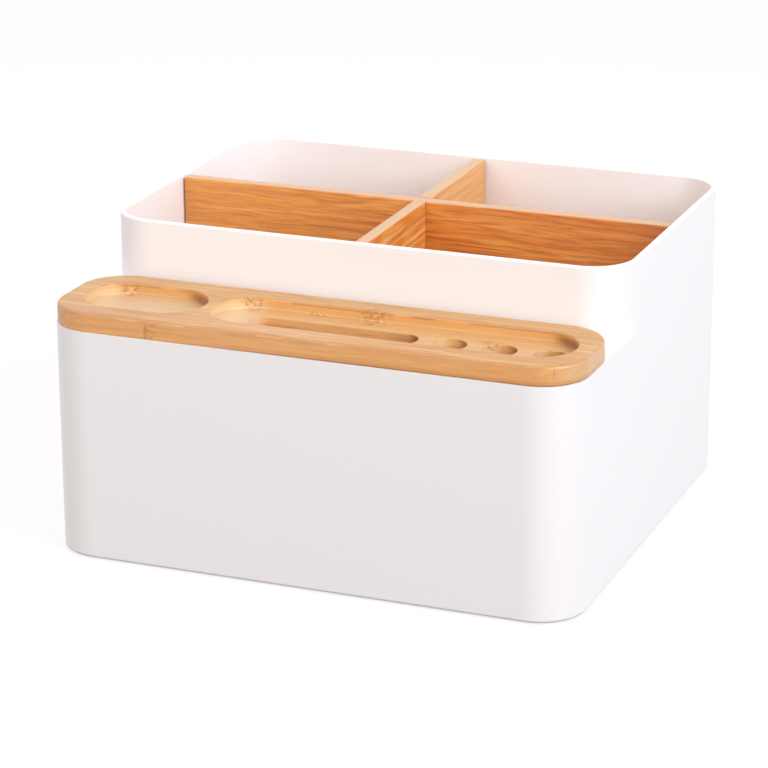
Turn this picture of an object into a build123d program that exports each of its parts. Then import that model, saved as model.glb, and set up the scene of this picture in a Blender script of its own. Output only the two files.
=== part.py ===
"""Desk organizer: a moulded open-top body with a low front bay under a lift-off bamboo lid, and a
tall rear bay that two cross-halved bamboo dividers split in four.

Millimetres, +Z up.  The origin is on the standing surface, below the middle of the footprint.
+X is to the right of someone facing the lid, and +Y points to the back.
"""
import os

from build123d import *

# Moulded body
body_width = 250.0  # left to right, outside
body_depth = 232.0  # front to back, outside
rim_height = 141.2  # tall bay's rim above the body's underside
seat_height = 107.5  # lid seat above the body's underside
wall = 2.5
floor_thickness = 3.0
corner_radius = 21.5  # outside of every upright corner
floor_radius = 3.0  # where a bay's walls meet its floor
rim_edge_radius = 0.9
base_edge_radius = 1.5
rib_thickness = 1.6  # cross rib in the hollow between the two bays
rib_count = 1

# Bamboo lid
lid_depth = 60.5  # front to back
lid_thickness = 9.0  # above the seat
lid_inset = 0.5  # lid's edge behind the body's face, all round
finger_gap = 6.0  # from the lid's rear edge to the tall bay
tongue_height = 3.0  # rebated part that drops into the front bay
tongue_clearance = 0.5
lid_top_radius = 1.5
lid_bottom_radius = 0.8
tongue_edge_radius = 0.6

# Pockets, slot and holes routed in the lid
pocket_depth = 5.0
pocket_side_margin = 12.25  # lid's long edges to the pockets
pocket_end_margin = 8.75  # lid's ends to the pockets
tray_length = 57.5  # small tray at the left
tray_web = 4.5  # between the tray and the long recess
pocket_rim_radius = 0.8
pocket_floor_radius = 1.0
pen_hole_diameter = 15.0
pen_hole_pitch = 23.0
pen_hole_count = 3
pen_hole_end_margin = 11.75  # last pen hole's centre to the recess's right end
phone_slot_width = 14.0
phone_slot_end_margin = 16.75  # recess's left end to the slot
phone_slot_hole_web = 7.5  # slot's right end to the first pen hole's edge
cutout_rim_radius = 0.5

# Bamboo dividers
divider_thickness = 6.0
divider_drop = 1.2  # dividers' top edges below the rim
divider_clearance = 1.0  # each end to the wall
divider_edge_radius = 0.6
divider_foot_relief = 6.0  # lower corners' radius beyond the floor radius
divider_floor_gap = 0.8  # under the long board, which beds on the short one
lap_clearance = 0.3  # around each board in the other's slot

# Non-slip pads
foot_diameter = 12.0
foot_thickness = 1.6
foot_recess = 1.0
foot_recess_clearance = 0.2
foot_edge_radius = 0.3

# Heights above the standing surface
underside_z = foot_thickness - foot_recess
floor_z = underside_z + floor_thickness
seat_z = underside_z + seat_height
rim_z = underside_z + rim_height
lid_top_z = seat_z + lid_thickness
pocket_floor_z = lid_top_z - pocket_depth
divider_top_z = rim_z - divider_drop
lap_z = (floor_z + divider_top_z) / 2  # where one board's slot beds on the other's

# Places front to back
front_y = -body_depth / 2
back_y = body_depth / 2
front_bay_depth = lid_inset + lid_depth
front_bay_y = front_y + front_bay_depth / 2
tall_bay_front_y = front_y + front_bay_depth + finger_gap
tall_bay_depth = back_y - tall_bay_front_y
tall_bay_y = (tall_bay_front_y + back_y) / 2
lid_y = front_y + lid_inset + lid_depth / 2

# Places left to right on the lid
lid_length = body_width - 2 * lid_inset
pocket_width = lid_depth - 2 * pocket_side_margin
tray_left = -lid_length / 2 + pocket_end_margin
recess_left = tray_left + tray_length + tray_web
recess_right = lid_length / 2 - pocket_end_margin
last_hole_x = recess_right - pen_hole_end_margin
pen_hole_places = [last_hole_x - i * pen_hole_pitch for i in range(pen_hole_count)]
phone_slot_left = recess_left + phone_slot_end_margin
phone_slot_right = min(pen_hole_places) - pen_hole_diameter / 2 - phone_slot_hole_web


def upright_block(width, depth, radius, bottom, top, y=0.0):
    """Block with rounded upright corners, centred on X at the given Y."""
    outline = Plane.XY.offset(bottom) * Pos(0, y) * RectangleRounded(width, depth, radius)
    return extrude(outline, top - bottom)


def bay_hollow(width, depth, y, top):
    """What is taken out for a bay: its floor corners are rounded."""
    hollow = upright_block(
        width - 2 * wall, depth - 2 * wall, corner_radius - wall, floor_z, top, y
    )
    return fillet(hollow.faces().sort_by(Axis.Z)[0].edges(), floor_radius)


def between_bays():
    """Hollow under the ledge, open below and ribbed across, so that every wall is one thickness."""
    top = seat_z - wall
    hollow = upright_block(
        body_width - 2 * wall, body_depth - 2 * wall, corner_radius - wall, underside_z, top
    )
    hollow -= upright_block(
        body_width, front_bay_depth, corner_radius, underside_z, top, front_bay_y
    )
    hollow -= upright_block(body_width, tall_bay_depth, corner_radius, underside_z, top, tall_bay_y)
    rib_pitch = body_width / (rib_count + 1)
    gap_y = front_y + front_bay_depth + finger_gap / 2
    for i in range(rib_count):
        rib_x = -body_width / 2 + (i + 1) * rib_pitch
        hollow -= Pos(rib_x, gap_y, (underside_z + top) / 2) * Box(
            rib_thickness, finger_gap + 2 * wall, top - underside_z
        )
    return hollow


def foot_places():
    """Name and place of each pad, on the axes of the body's rounded corners."""
    x = body_width / 2 - corner_radius
    y = body_depth / 2 - corner_radius
    return {
        "foot_front_left": (-x, -y),
        "foot_front_right": (x, -y),
        "foot_rear_left": (-x, y),
        "foot_rear_right": (x, y),
    }


def organizer_body():
    """One moulding: low front bay, ledge behind the lid, tall rear bay, recesses for the pads."""
    body = upright_block(body_width, body_depth, corner_radius, underside_z, seat_z)
    body += upright_block(
        body_width, tall_bay_depth, corner_radius, underside_z, rim_z, tall_bay_y
    )
    body = fillet(body.faces().sort_by(Axis.Z)[0].outer_wire().edges(), base_edge_radius)
    body -= bay_hollow(body_width, tall_bay_depth, tall_bay_y, rim_z)
    body = fillet(body.faces().sort_by(Axis.Z)[-1].edges(), rim_edge_radius)
    body -= bay_hollow(body_width, front_bay_depth, front_bay_y, seat_z)
    body -= between_bays()
    recess_radius = foot_diameter / 2 + foot_recess_clearance
    for x, y in foot_places().values():
        centre = Pos(x, y, underside_z + foot_recess / 2)
        body -= centre * Cylinder(recess_radius, foot_recess)
    return body


def routed_pocket(left, right):
    """What a round-nosed cutter takes out for a round-ended pocket: its floor corner is rounded."""
    outline = Plane.XY.offset(pocket_floor_z) * Pos((left + right) / 2, lid_y) * SlotOverall(
        right - left, pocket_width
    )
    pocket = extrude(outline, lid_thickness)
    return fillet(pocket.faces().sort_by(Axis.Z)[0].edges(), pocket_floor_radius)


def through_cutters():
    """What is taken out for the phone slot and the pen holes."""
    slot_x = (phone_slot_left + phone_slot_right) / 2
    outlines = [
        Pos(slot_x, lid_y) * SlotOverall(phone_slot_right - phone_slot_left, phone_slot_width)
    ]
    outlines += [Pos(x, lid_y) * Circle(pen_hole_diameter / 2) for x in pen_hole_places]
    bottom = seat_z - tongue_height
    return [
        extrude(Plane.XY.offset(bottom) * outline, lid_top_z - bottom) for outline in outlines
    ]


def cut_with_soft_rims(board, cutters, radius):
    """Cuts the board, then rounds the upper edges that the cut made."""
    result = board - cutters
    rims = new_edges(board, *cutters, combined=result).group_by(Axis.Z)[-1]
    return fillet(rims, radius)


def lid():
    """Bamboo board with a rebated underside, a tray, a long recess, a slot and pen holes."""
    board = upright_block(
        lid_length, lid_depth, corner_radius - lid_inset, seat_z, lid_top_z, lid_y
    )
    board = fillet(board.faces().sort_by(Axis.Z)[-1].edges(), lid_top_radius)
    board = fillet(board.faces().sort_by(Axis.Z)[0].edges(), lid_bottom_radius)
    inset = wall + tongue_clearance
    tongue = upright_block(
        body_width - 2 * inset,
        front_bay_depth - 2 * inset,
        corner_radius - inset,
        seat_z - tongue_height,
        seat_z,
        front_bay_y,
    )
    board += fillet(tongue.faces().sort_by(Axis.Z)[0].edges(), tongue_edge_radius)
    pockets = [
        routed_pocket(tray_left, tray_left + tray_length),
        routed_pocket(recess_left, recess_right),
    ]
    board = cut_with_soft_rims(board, pockets, pocket_rim_radius)
    return cut_with_soft_rims(board, through_cutters(), cutout_rim_radius)


def divider_board(length, bottom):
    """Upright board along X, with rounded lower corners and softened upper edges."""
    height = divider_top_z - bottom
    middle = Pos(0, 0, bottom + height / 2)
    board = middle * Box(length, divider_thickness, height)
    lower = board.edges().filter_by(Axis.Y).group_by(Axis.Z)[0]
    board = fillet(lower, floor_radius + divider_foot_relief)
    upper = board.faces().sort_by(Axis.Z)[-1].edges()
    return fillet(upper, divider_edge_radius)


def lap_slot(bottom, top):
    """Slot for the crossing board, open at one end of its height."""
    width = divider_thickness + 2 * lap_clearance
    return Pos(0, 0, (bottom + top) / 2) * Box(width, 2 * divider_thickness, top - bottom)


def long_divider():
    """Left-to-right board, slotted from below so that it drops over the short one and beds on it."""
    board = divider_board(
        body_width - 2 * wall - 2 * divider_clearance, floor_z + divider_floor_gap
    )
    board -= lap_slot(floor_z, lap_z)
    return Pos(0, tall_bay_y, 0) * board


def short_divider():
    """Front-to-back board on the tall bay's floor, slotted from above."""
    board = divider_board(tall_bay_depth - 2 * wall - 2 * divider_clearance, floor_z)
    board -= lap_slot(lap_z, rim_z)
    return Pos(0, tall_bay_y, 0) * Rot(0, 0, 90) * board


def foot(x, y):
    """Round pad, stuck in its recess and standing proud of the underside."""
    pad = Pos(x, y, foot_thickness / 2) * Cylinder(foot_diameter / 2, foot_thickness)
    return fillet(pad.faces().sort_by(Axis.Z)[0].edges(), foot_edge_radius)


def all_parts():
    """Every piece by its node name."""
    parts = {
        "organizer_body": organizer_body(),
        "lid": lid(),
        "long_divider": long_divider(),
        "short_divider": short_divider(),
    }
    for name, (x, y) in foot_places().items():
        parts[name] = foot(x, y)
    return parts


os.makedirs("parts", exist_ok=True)
for name, part in all_parts().items():
    export_step(part, f"parts/{name}.step")
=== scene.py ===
"""Desk organizer: the finish of every piece, the studio light and the camera.

Metres, +Z up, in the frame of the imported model: the lid faces -Y, and the pads stand on Z = 0.
The bamboo's patches, bands and marks are in mm, in the same frame.
"""

import math

import bmesh
import bpy
from mathutils import Euler, Matrix, Vector

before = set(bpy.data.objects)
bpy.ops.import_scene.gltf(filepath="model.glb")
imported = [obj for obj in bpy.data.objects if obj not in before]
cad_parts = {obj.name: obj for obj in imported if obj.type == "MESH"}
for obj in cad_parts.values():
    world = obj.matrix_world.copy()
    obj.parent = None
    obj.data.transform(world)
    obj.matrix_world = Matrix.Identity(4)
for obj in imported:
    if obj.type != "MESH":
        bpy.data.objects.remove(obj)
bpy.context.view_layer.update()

MM = 0.001
X, Y, Z = 0, 1, 2
OPPOSITE_CORNERS = (0, 6)  # the lowest and the highest of a box's eight

# The ways that a face can look
FRONT = (0, -1, 0)
UP = (0, 0, 1)
RIGHT = (1, 0, 0)
LEFT = (-1, 0, 0)
FRONT_AND_UP = (0, -0.7, 0.7)
RIGHT_AND_UP = (0.7, -0.2, 0.68)

# Camera
CAMERA_PLACE = (0.49627, -1.26859, 0.52645)
CAMERA_YAW = math.radians(21.611)
CAMERA_PITCH = math.radians(18.921)
CAMERA_ROLL = math.radians(-0.240)
CAMERA_LENS_MM = 143.85
SENSOR_MM = 36.0

# Studio
BACKGROUND_WHITE = "#FFFDFF"
ROOM_LIGHT = "#FFFDFF"
ROOM_LEVEL = 0.86  # of white, level with the object
ROOM_RISE = (0.10, 0.22, -0.16)  # the change towards the right, the back and the ceiling
FLOOR_WHITE = "#FFFFFF"  # to look at
FLOOR_GREY = "#5F5954"  # in the light that it sends back up
FLOOR_HALF_SIDE = 4.0
FLOOR_LIT_SHARE = 0.22  # of the floor's look that shows its light and shadow
FLOOR_LIT_REACH = (0.4, 1.2)  # where that share starts to fall, and where none is left
SOFT_BOX_SIDE = 1.6
KEY_PLACE = (2.026, -0.737, 1.454)
KEY_WATTS = 46.5
KEY_COLOUR = "#FAF7FE"
FILL_PLACE = (-0.600, -2.238, 1.180)
FILL_WATTS = 26.0
FILL_COLOUR = "#FFF3EE"
BACK_PLACE = (-1.600, 1.650, 0.750)
BACK_WATTS = 20.0
BACK_COLOUR = "#F8FAFF"

# White body and clear pads
ABS_WHITE = "#F4F5F5"
ABS_GRIT_MM = 0.7
SILICONE_CLEAR = "#E9E8E4"

# Bamboo, in mm
FIBRE_SWAY = 5.0  # how far a fibre wanders, from side to side
NOISE_MIDDLE = (0.5, 0.5, 0.5)

# Bamboo lid, in mm
LID_THICKNESS = 9.0  # above its seat
LID_STRIPS = 3  # glued side by side
LID_BOLDNESS = 1.0  # of its streaks and fibres
POCKET_DEPTH = 5.0
ROUTED_HALF_SIZE = (117.0, 20.0, 10.0)  # reaches just past the pockets' walls
ROUTED_FADE = 0.02  # of that half size
LID_TONES = {
    "light": "#D0A15A",
    "deep": "#C68E44",
    "streak": "#B67B34",
    "pale": "#DFBA74",
    "fibre": "#A36A32",
}
# Painted light: the lid's front faces are painted a brighter orange than its top.
LID_FRONT_PAINTED_LIGHT = "#EEAE6C"
# Partly end grain and partly painted light: the cream of the pockets' left ends.
LID_CREAM_END_GRAIN_AND_LIGHT = "#E0C8A0"
# Where the culm's nodes cross the strips: centre, then half the mark's size.
NODE_MARKS = [
    ((16.5, -68.0, 115.0), (8.5, 7.0, 7.0)),
    ((-41.0, -69.0, 115.0), (5.5, 4.0, 6.0)),
    ((75.0, -78.5, 112.0), (6.5, 5.5, 3.0)),
    ((-102.0, -68.5, 115.0), (5.5, 4.0, 6.0)),
    ((-12.0, -67.0, 112.0), (5.0, 2.0, 1.5)),
]
NODE_LINES = [
    ((-72.6, -114.0, 112.0), (1.2, 6.0, 7.0)),
    ((114.4, -114.0, 112.0), (0.8, 4.0, 6.0)),
]
NODE_DASHES = [((-69.8, -114.0, 112.5), (3.6, 6.0, 5.0))]

# Bamboo dividers, in mm
DIVIDER_HEIGHT = 137.0  # the short one's
DIVIDER_STRIPS = 6  # glued one above the other
DIVIDER_BOLDNESS = 1.5  # of their streaks and fibres
# The change of tone towards an end: from here, to there, how strong, and to what.
# On the long divider, the deeper tone towards the right is partly the board's own and partly painted
# shade of the box's right wall; the last, darkest band is painted shade.
LONG_DIVIDER_ENDS_AND_SHADE = [
    (20, -125, 0.35, "#E6A24E"),
    (20, 122, 0.35, "#BE6426"),
    (92, 122, 0.35, "#8A4A1C"),
]
SHORT_DIVIDER_ENDS = [(15, 70, 0.65, "#E3AC62")]
LONG_DIVIDER_PALE_STREAKS = 0.15  # how strong its palest streaks are
SHORT_DIVIDER_PALE_STREAKS = 0.65
DIVIDER_TONES = {
    "light": "#E2913A",
    "deep": "#D67E2E",
    "streak": "#BE651F",
    "pale": "#E8A14E",
    "fibre": "#A2541C",
}


def linear(hex_colour):
    """RGBA in linear light from an sRGB hex colour."""
    channels = [int(hex_colour[i : i + 2], 16) / 255 for i in (1, 3, 5)]
    return [c / 12.92 if c <= 0.04045 else ((c + 0.055) / 1.055) ** 2.4 for c in channels] + [1.0]


def metres(values_mm):
    return [value * MM for value in values_mm]


def node(tree, kind, wires=None, out=None, **settings):
    """Adds a shader node, with its settings, and links or values by socket identifier."""
    made = tree.nodes.new("ShaderNode" + kind)
    for name, value in settings.items():
        setattr(made, name, value)
    sockets = {socket.identifier: socket for socket in made.inputs}
    for name, value in (wires or {}).items():
        if isinstance(value, bpy.types.NodeSocket):
            tree.links.new(value, sockets[name])
        else:
            sockets[name].default_value = value
    outputs = {socket.identifier: socket for socket in made.outputs}
    return outputs[out] if out else next(iter(outputs.values()), made)


def new_material(name):
    material = bpy.data.materials.new(name)
    material.use_nodes = True
    material.node_tree.nodes.clear()
    return material, material.node_tree


def finish_material(tree, wires):
    """Principled surface with these sockets, as the material's output."""
    surface = node(tree, "BsdfPrincipled", wires)
    node(tree, "OutputMaterial", {"Surface": surface})


def painted(tree, base, coats):
    """The base colour under these coats, the last on top.

    Each coat has a list of shares, which are multiplied, and a hex colour.
    """
    for shares, colour in coats:
        share = shares[0]
        for other in shares[1:]:
            share = node(tree, "Math", {"Value": share, "Value_001": other}, operation="MULTIPLY")
        base = node(
            tree,
            "Mix",
            {"Factor_Float": share, "A_Color": base, "B_Color": linear(colour)},
            out="Result_Color",
            data_type="RGBA",
        )
    return base


def streaks(tree, place, size_mm, low, high, strength, detail=2.0, origin_mm=(0, 0, 0)):
    """Soft streaks of this size, from none at the noise's low level to this strength at its high."""
    near = node(
        tree,
        "Mapping",
        {"Vector": place, "Location": metres(origin_mm), "Scale": metres(size_mm)},
        vector_type="TEXTURE",
    )
    noise = node(tree, "TexNoise", {"Vector": near, "Scale": 1.0, "Detail": detail})
    return node(
        tree,
        "MapRange",
        {"Value": noise, "From Min": low, "From Max": high, "To Max": strength},
        interpolation_type="SMOOTHSTEP",
    )


def facing(tree, way, strength=1.0, low=0.3, high=0.9, both_sides=False):
    """Rises with the cosine between this way and the one that the surface faces."""
    normal = node(tree, "TexCoord", out="Normal")
    cosine = node(
        tree,
        "VectorMath",
        {"Vector": normal, "Vector_001": way},
        out="Value",
        operation="DOT_PRODUCT",
    )
    if both_sides:
        cosine = node(tree, "Math", {"Value": cosine}, operation="ABSOLUTE")
    return node(
        tree,
        "MapRange",
        {"Value": cosine, "From Min": low, "From Max": high, "To Max": strength},
        interpolation_type="SMOOTHSTEP",
    )


def rise(tree, place, axis, start, end, strength=1.0):
    """Rises along the axis, from none at the start to this strength at the end, both in mm."""
    distance = node(tree, "SeparateXYZ", {"Vector": place}, out="XYZ"[axis])
    return node(
        tree,
        "MapRange",
        {
            "Value": distance,
            "From Min": start * MM,
            "From Max": end * MM,
            "To Max": strength,
        },
        interpolation_type="SMOOTHSTEP",
    )


def on_marks(tree, place, marks, outer, inner, strength=1.0):
    """Fades in from the outer to the inner size of each mark, where 1 is its outline."""
    nearest = 2 * outer
    for centre, half_size in marks:
        near = node(
            tree,
            "Mapping",
            {"Vector": place, "Location": metres(centre), "Scale": metres(half_size)},
            vector_type="TEXTURE",
        )
        away = node(tree, "VectorMath", {"Vector": near}, out="Value", operation="LENGTH")
        nearest = node(tree, "Math", {"Value": nearest, "Value_001": away}, operation="MINIMUM")
    return node(
        tree,
        "MapRange",
        {"Value": nearest, "From Min": outer, "From Max": inner, "To Max": strength},
        interpolation_type="SMOOTHSTEP",
    )


def along_grain(grain, length, width):
    """A feature's size as X, Y, Z: its length lies on the grain, and it is as thick as it is wide."""
    sizes = [width] * 3
    sizes[grain] = length
    return sizes


def swaying(tree, place, grain):
    """The place, carried a few mm to and fro, so that no fibre runs quite straight."""
    wave = along_grain(grain, length=90, width=30)
    near = node(tree, "Mapping", {"Vector": place, "Scale": metres(wave)}, vector_type="TEXTURE")
    sway = node(tree, "TexNoise", {"Vector": near, "Scale": 1.0, "Detail": 1.0}, out="Color")
    centred = {"Vector": sway, "Vector_001": NOISE_MIDDLE}
    sway = node(tree, "VectorMath", centred, operation="SUBTRACT")
    sway = node(tree, "VectorMath", {"Vector": sway, "Scale": FIBRE_SWAY * MM}, operation="SCALE")
    return node(tree, "VectorMath", {"Vector": place, "Vector_001": sway}, operation="ADD")


def strip_tone(tree, place, across, strip_mm, start_mm):
    """A value from 0 to 1 for each of the strips that are glued side by side."""
    start = [0, 0, 0]
    start[across] = start_mm
    near = node(
        tree,
        "Mapping",
        {"Vector": place, "Location": metres(start), "Scale": metres([strip_mm] * 3)},
        vector_type="TEXTURE",
    )
    across_strips = node(tree, "SeparateXYZ", {"Vector": near}, out="XYZ"[across])
    count = node(tree, "Math", {"Value": across_strips}, operation="FLOOR")
    return node(tree, "TexWhiteNoise", {"W": count}, out="Value", noise_dimensions="1D")


def bamboo_grain(tree, place, grain, base, tones, strips, boldness):
    """Colour of the planed face: bands, streaks and fibres on the base, all along the grain."""
    def run(length, width, low, high, strength, detail=2.0):
        return streaks(tree, place, along_grain(grain, length, width), low, high, strength, detail)

    bands = run(length=150, width=8, low=0.25, high=0.6, strength=1.0)
    dark = run(length=36, width=1.8, low=0.48, high=0.64, strength=0.5 * boldness, detail=3)
    pale = run(length=50, width=2.6, low=0.5, high=0.66, strength=0.5 * boldness)
    # Real fibres are half as wide, but would not show.
    fibres = run(length=16, width=0.8, low=0.45, high=0.62, strength=0.3 * boldness)
    coats = [
        ([strips, bands], tones["deep"]),
        ([dark], tones["streak"]),
        ([pale], tones["pale"]),
        ([fibres], tones["fibre"]),
    ]
    return painted(tree, base, coats), fibres


def lacquered(tree, colour, fibres):
    """Satin lacquer over fibres that lie a hair below the surface."""
    relief = node(
        tree, "Bump", {"Height": fibres, "Strength": 0.3, "Distance": 0.1 * MM}, invert=True
    )
    finish_material(
        tree,
        {
            "Base Color": colour,
            "Roughness": 0.45,
            "IOR": 1.5,
            "Coat Weight": 0.5,
            "Coat Roughness": 0.3,
            "Coat IOR": 1.5,
            "Normal": relief,
        },
    )


def routed_area(tree, place, centre_mm):
    """1 over the pockets, the slot and the pen holes, and 0 at the lid's outer faces."""
    near = node(
        tree,
        "Mapping",
        {"Vector": place, "Location": metres(centre_mm), "Scale": metres(ROUTED_HALF_SIZE)},
        vector_type="TEXTURE",
    )
    near = node(tree, "VectorMath", {"Vector": near}, operation="ABSOLUTE")
    far_x = node(tree, "SeparateXYZ", {"Vector": near}, out="X")
    far_y = node(tree, "SeparateXYZ", {"Vector": near}, out="Y")
    farthest = node(tree, "Math", {"Value": far_x, "Value_001": far_y}, operation="MAXIMUM")
    return node(
        tree,
        "MapRange",
        {"Value": farthest, "From Min": 1.0 + ROUTED_FADE, "From Max": 1.0},
        interpolation_type="SMOOTHSTEP",
    )


def lid_patches(tree, place, swayed):
    """Broad changes of tone under the lid's grain, and painted light that brightens its front faces.
    """
    near_side = rise(tree, place, Y, start=-90, end=-96)
    middle = rise(tree, place, Y, start=-74, end=-84)
    far_side = rise(tree, place, Y, start=-72, end=-67)
    wide_bands = streaks(
        tree, swayed, (55, 9, 9), low=0.45, high=0.6, strength=0.4, origin_mm=(11, 3, 0)
    )
    thin_bands = streaks(
        tree, swayed, (60, 5, 5), low=0.48, high=0.62, strength=0.45, origin_mm=(-29, 7, 0)
    )
    return [
        ([near_side, rise(tree, place, X, start=-55, end=-70, strength=0.6)], "#B3845F"),
        ([middle, rise(tree, place, X, start=-64, end=-50, strength=0.5)], "#DFB08C"),
        ([rise(tree, place, X, start=0, end=30, strength=0.6)], "#C88A24"),
        ([near_side, rise(tree, place, X, start=25, end=50, strength=0.6)], "#C88F42"),
        ([far_side, rise(tree, place, X, start=5, end=25, strength=0.5)], "#D09F4B"),
        ([wide_bands], "#CC9B52"),
        ([thin_bands], "#C6823F"),
        # Painted light: the front faces are painted brighter, under the grain.
        ([facing(tree, FRONT, strength=0.5)], LID_FRONT_PAINTED_LIGHT),
    ]


def face_coats(tree, place, inside, top):
    """Tones of the planed faces and of the two pockets, by the way that each face looks.

    Much of it is painted light and shade: faces that look to the front or the right are painted
    paler, faces that look left and rounded edges that catch the lamps are painted darker, and the
    pockets' cream left ends are partly end grain and partly painted light.
    """
    sunk = [inside, rise(tree, place, Z, start=top - 0.5, end=top - 2.5)]
    level = facing(tree, UP, strength=0.5, low=0.6, high=0.95)
    in_tray = rise(tree, place, X, start=-55.5, end=-57.5)
    tray_left_end_grain_and_light = [rise(tree, place, X, start=-100, end=-112, strength=0.55)]
    recess_left_end_grain_and_light = [
        rise(tree, place, X, start=-30, end=-46),
        rise(tree, place, X, start=-70, end=-50, strength=0.7),
    ]
    return [
        ([facing(tree, FRONT, strength=0.5)], LID_FRONT_PAINTED_LIGHT),  # painted light on the front faces, over the grain as well
        ([*sunk, level], "#E0B682"),
        ([*sunk, level, in_tray], "#D0B898"),
        ([*sunk, facing(tree, FRONT, strength=0.5)], "#D2AB68"),
        # Painted shade: the rounded edges between the front and the top are painted darker.
        ([facing(tree, FRONT_AND_UP, strength=0.5, low=0.8, high=0.95)], "#B5824E"),
        # Painted light: faces that look right are painted paler.
        ([facing(tree, RIGHT, strength=0.6)], "#E1BA89"),
        # The pockets' left ends are cream: partly end grain, partly painted light.
        ([*sunk, *tray_left_end_grain_and_light], LID_CREAM_END_GRAIN_AND_LIGHT),
        ([*sunk, *recess_left_end_grain_and_light], LID_CREAM_END_GRAIN_AND_LIGHT),
        # Painted shade: fillets and rims that look up and to the right, towards the key lamp, are
        # painted darker.
        ([facing(tree, RIGHT_AND_UP, strength=0.4, low=0.88, high=0.98)], "#9A7A4E"),
        # Painted shade: faces that look left are painted darker.
        ([facing(tree, LEFT, strength=0.5)], "#B07A48"),
        ([*sunk, facing(tree, LEFT, strength=0.85, low=0.0, high=0.45)], "#965A30"),  # painted shade on the pockets' walls that look left
    ]


def pierced_coats(tree, place, inside, pocket_floor):
    """Tones of the walls of the slot and the pen holes, below the recess's floor.

    Walls that look to the front or the right are painted paler, as painted light; walls that look
    left, the slot's right end and the right pen holes are painted darker, as painted shade.  The
    cutter's lines are real marks.
    """
    pierced = [inside, rise(tree, place, Z, start=pocket_floor - 0.2, end=pocket_floor - 1.2)]
    slot_right_end_shade = [
        rise(tree, place, X, start=20, end=38, strength=0.4),
        rise(tree, place, X, start=48, end=46),
    ]
    right_pen_holes_shade = rise(tree, place, X, start=60, end=100, strength=0.27)
    cutter_lines = streaks(tree, place, (26, 3, 2.2), low=0.5, high=0.66, strength=0.4)
    return [
        # Painted light: walls that look to the front are painted paler.
        ([*pierced, facing(tree, FRONT, strength=0.8, low=0.1, high=0.8)], "#FABE7C"),
        ([*pierced, cutter_lines], "#C98550"),
        # Painted shade: the slot's right end and the right pen holes are painted darker.
        ([*pierced, *slot_right_end_shade], "#B0602C"),
        ([*pierced, right_pen_holes_shade], "#8C5A28"),
        # Painted light on walls that look right, and painted shade on walls that look left.
        ([*pierced, facing(tree, RIGHT, low=0.1)], "#F0C898"),
        ([*pierced, facing(tree, LEFT, strength=0.85, low=0.1, high=0.95)], "#744628"),
    ]


def culm_node_coats(tree, place, swayed):
    """Brown and pale dots in a soft stain on the top, and thin dark lines on the front."""
    cloud = on_marks(tree, swayed, NODE_MARKS, outer=1.1, inner=0.6)
    stain = streaks(tree, place, (6, 5, 5), low=0.35, high=0.6, strength=0.4)
    pale_dots = streaks(
        tree, place, (1.6, 1.3, 1.3), low=0.56, high=0.64, strength=0.7, origin_mm=(37, 11, 5)
    )
    dark_dots = streaks(tree, place, (1.9, 1.2, 1.2), low=0.49, high=0.58, strength=0.6)
    line = on_marks(tree, swayed, NODE_LINES, outer=1.0, inner=0.3, strength=0.4)
    line_dots = streaks(tree, place, (1.6, 1.2, 1.2), low=0.4, high=0.6, strength=0.8)
    beside_line = on_marks(tree, swayed, NODE_DASHES, outer=1.1, inner=0.5)
    dashes = streaks(tree, place, (3.4, 1.3, 1.3), low=0.45, high=0.6, strength=0.5)
    return [
        ([cloud, stain], "#C68C4C"),
        ([cloud, pale_dots], "#EBC48A"),
        ([cloud, dark_dots], "#A06A2C"),
        ([line], "#B9703A"),
        ([line, line_dots], "#A8662F"),
        ([beside_line, dashes], "#B4703E"),
    ]


def edge_coats(tree, place, inside, top, seat):
    """Painted shade along the lower edge, darker towards the right, and a broken dark line below the
    upper edge.
    """
    outer_face = [
        node(tree, "Math", {"Value": 1.0, "Value_001": inside}, operation="SUBTRACT"),
        rise(tree, place, Z, start=seat - 0.3, end=seat),
    ]
    lower_edge_shade = [
        rise(tree, place, Z, start=seat + 3.0, end=seat + 1.2),
        rise(tree, place, X, start=-70, end=20, strength=0.4),
    ]
    lowest_edge_shade = [
        rise(tree, place, Z, start=seat + 1.0, end=seat + 0.3),
        rise(tree, place, X, start=-90, end=20, strength=0.75),
    ]
    upper_edge = [
        rise(tree, place, Z, start=top - 1.5, end=top - 1.1),
        facing(tree, FRONT, low=0.7),
        streaks(tree, place, (22, 60, 60), low=0.42, high=0.5, strength=0.6),
    ]
    return [
        # Painted shade along the lid's lower edge, where it meets the body.
        ([*lower_edge_shade, *outer_face], "#B87436"),
        ([*lowest_edge_shade, *outer_face], "#9A5F30"),
        (upper_edge, "#A87442"),
    ]


def lid_bamboo(lid):
    """Caramelised bamboo board of three strips, its pockets routed, then lacquered satin.

    The culm's nodes cross it as clusters of brown dots.  The router's walls are more orange than the
    planed faces; where they face left they are painted darker, as painted shade, and where they face
    right paler, as painted light.
    """
    lowest, highest = [Vector(lid.bound_box[corner]) / MM for corner in OPPOSITE_CORNERS]
    top = highest.z
    material, tree = new_material("bamboo_lid_lacquered")
    place = node(tree, "TexCoord", out="Object")
    swayed = swaying(tree, place, X)
    strips = strip_tone(tree, place, Y, (highest.y - lowest.y) / LID_STRIPS, lowest.y)
    base = painted(tree, linear(LID_TONES["light"]), lid_patches(tree, place, swayed))
    colour, fibres = bamboo_grain(tree, swayed, X, base, LID_TONES, strips, LID_BOLDNESS)
    inside = routed_area(tree, place, (lowest + highest) / 2)
    coats = [
        *face_coats(tree, place, inside, top),
        *pierced_coats(tree, place, inside, top - POCKET_DEPTH),
        *culm_node_coats(tree, place, swayed),
        *edge_coats(tree, place, inside, top, top - LID_THICKNESS),
    ]
    lacquered(tree, painted(tree, colour, coats), fibres)
    return material


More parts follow.
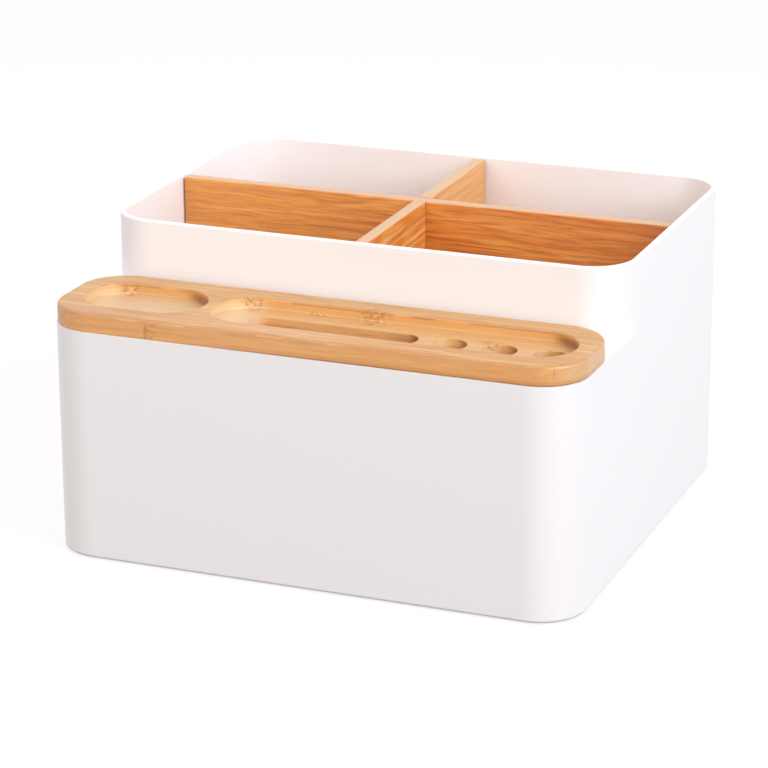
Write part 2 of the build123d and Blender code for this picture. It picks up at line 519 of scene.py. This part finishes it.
def divider_bamboo(name, grain, ends, pale_streaks):
    """Caramelised bamboo board of six strips, planed and lacquered satin.

    It is redder and more boldly streaked than the lid, and its tone changes from end to end; towards
    its right end the long divider is painted darker, partly its own tone and partly painted shade of
    the box's right wall.  Its sawn upper edge is painted paler: partly the pale inside of the culm's
    wall, partly painted sheen.
    """
    material, tree = new_material(name)
    place = node(tree, "TexCoord", out="Object")
    swayed = swaying(tree, place, grain)
    strips = strip_tone(tree, place, Z, DIVIDER_HEIGHT / DIVIDER_STRIPS, 0)
    base = linear(DIVIDER_TONES["light"])
    colour, fibres = bamboo_grain(
        tree, swayed, grain, base, DIVIDER_TONES, strips, DIVIDER_BOLDNESS
    )
    palest = along_grain(grain, length=60, width=1.7)
    bold = streaks(tree, swayed, palest, low=0.5, high=0.64, strength=pale_streaks)
    planed = facing(tree, FRONT if grain == X else RIGHT, both_sides=True)
    coats = [([bold, planed], "#EFC07F")]
    # Tones towards the ends, which on the long divider take in painted shade near the right wall.
    for start, end, strength, tone in ends:
        coats.append(([rise(tree, place, grain, start, end, strength)], tone))
    # The upper edge is painted paler: partly the pale inside of the culm's wall, partly painted
    # sheen.
    coats.append(([facing(tree, UP, strength=0.8, low=0.5, high=0.95)], "#D2AE82"))
    lacquered(tree, painted(tree, colour, coats), fibres)
    return material


def white_abs():
    """Injection-moulded ABS with a fine satin texture: an even, soft white without any seam."""
    material, tree = new_material("white_abs_moulded")
    place = node(tree, "TexCoord", out="Object")
    # The mould's texture is finer than this, but would not show.
    grit = node(tree, "TexNoise", {"Vector": place, "Scale": 1 / (ABS_GRIT_MM * MM)})
    relief = node(tree, "Bump", {"Height": grit, "Strength": 0.1, "Distance": 0.05 * MM})
    finish_material(
        tree,
        {
            "Base Color": linear(ABS_WHITE),
            "Roughness": 0.38,
            "IOR": 1.54,
            "Normal": relief,
        },
    )
    return material


def pad_silicone():
    """Clear silicone, die cut: milky, soft and slightly glossy."""
    material, tree = new_material("silicone_die_cut")
    finish_material(
        tree,
        {
            "Base Color": linear(SILICONE_CLEAR),
            "Roughness": 0.3,
            "IOR": 1.41,
        },
    )
    return material


def make_camera():
    lens = bpy.data.cameras.new("camera")
    lens.lens = CAMERA_LENS_MM
    lens.sensor_width = SENSOR_MM
    camera = bpy.data.objects.new("camera", lens)
    turn = Euler((math.pi / 2 - CAMERA_PITCH, 0, CAMERA_YAW)).to_matrix()
    turn = turn @ Matrix.Rotation(CAMERA_ROLL, 3, "Z")
    camera.matrix_world = Matrix.Translation(CAMERA_PLACE) @ turn.to_4x4()
    bpy.context.scene.collection.objects.link(camera)
    bpy.context.scene.camera = camera


def seen_directly(tree):
    """1 for rays that show the room to the camera, straight or by way of gloss or glass."""
    direct = node(tree, "LightPath", out="Is Camera Ray")
    for kind in ("Is Glossy Ray", "Is Transmission Ray"):
        ray = node(tree, "LightPath", out=kind)
        direct = node(tree, "Math", {"Value": direct, "Value_001": ray}, operation="MAXIMUM")
    return direct


def make_room():
    """White to look at, and an even pale grey as a light."""
    world = bpy.data.worlds.new("room")
    world.use_nodes = True
    tree = world.node_tree
    tree.nodes.clear()
    way = node(tree, "TexCoord", out="Generated")
    rising = node(
        tree,
        "VectorMath",
        {"Vector": way, "Vector_001": ROOM_RISE},
        out="Value",
        operation="DOT_PRODUCT",
    )
    level = node(tree, "Math", {"Value": rising, "Value_001": ROOM_LEVEL}, operation="ADD")
    level = node(
        tree,
        "Mix",
        {"Factor_Float": seen_directly(tree), "A_Float": level, "B_Float": 1.0},
        out="Result_Float",
    )
    light = node(tree, "Background", {"Color": linear(ROOM_LIGHT), "Strength": level})
    node(tree, "OutputWorld", {"Surface": light})
    bpy.context.scene.world = world


def paper_sweep():
    """Matt paper, lit almost to the background's white, so that only a faint shadow is left."""
    material, tree = new_material("paper_sweep")
    direct = seen_directly(tree)
    tone = painted(tree, linear(FLOOR_GREY), [([direct], FLOOR_WHITE)])
    paper = node(tree, "BsdfDiffuse", {"Color": tone})
    white = node(tree, "Emission", {"Color": linear(BACKGROUND_WHITE), "Strength": 1.0})
    place = node(tree, "TexCoord", out="Object")
    away = node(tree, "VectorMath", {"Vector": place}, out="Value", operation="LENGTH")
    plain = node(
        tree,
        "MapRange",
        {
            "Value": away,
            "From Min": FLOOR_LIT_REACH[0],
            "From Max": FLOOR_LIT_REACH[1],
            "To Min": 1 - FLOOR_LIT_SHARE,
        },
        interpolation_type="SMOOTHSTEP",
    )
    share = node(tree, "Math", {"Value": direct, "Value_001": plain}, operation="MULTIPLY")
    look = node(tree, "MixShader", {"Fac": share, "Shader": paper, "Shader_001": white})
    node(tree, "OutputMaterial", {"Surface": look})
    return material


def make_floor():
    mesh = bpy.data.meshes.new("floor")
    work = bmesh.new()
    bmesh.ops.create_grid(work, x_segments=1, y_segments=1, size=FLOOR_HALF_SIDE)
    work.to_mesh(mesh)
    work.free()
    mesh.materials.append(paper_sweep())
    floor = bpy.data.objects.new("floor", mesh)
    bpy.context.scene.collection.objects.link(floor)


def make_soft_box(name, place, watts, colour):
    """Square lamp that faces the object."""
    lamp = bpy.data.lights.new(name, "AREA")
    lamp.shape = "SQUARE"
    lamp.size = SOFT_BOX_SIDE
    lamp.energy = watts
    lamp.color = linear(colour)[:3]
    box = bpy.data.objects.new(name, lamp)
    box.location = place
    box.rotation_euler = (-Vector(place)).to_track_quat("-Z", "Y").to_euler()
    bpy.context.scene.collection.objects.link(box)
    return box


finishes = {
    "organizer_body": white_abs(),
    "lid": lid_bamboo(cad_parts["lid"]),
    "long_divider": divider_bamboo(
        "bamboo_long_divider_lacquered", X, LONG_DIVIDER_ENDS_AND_SHADE, LONG_DIVIDER_PALE_STREAKS
    ),
    "short_divider": divider_bamboo(
        "bamboo_short_divider_lacquered", Y, SHORT_DIVIDER_ENDS, SHORT_DIVIDER_PALE_STREAKS
    ),
}
pad_finish = pad_silicone()
for name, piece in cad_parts.items():
    for holder in piece.material_slots:
        holder.material = finishes.get(name, pad_finish)

make_camera()
make_room()
make_floor()
make_soft_box("key_light", KEY_PLACE, KEY_WATTS, KEY_COLOUR)
make_soft_box("fill_light", FILL_PLACE, FILL_WATTS, FILL_COLOUR)
back_light = make_soft_box("back_light", BACK_PLACE, BACK_WATTS, BACK_COLOUR)
back_light.visible_glossy = False  # its shine would wash out the lid's top
bpy.context.scene.view_settings.view_transform = "Standard"
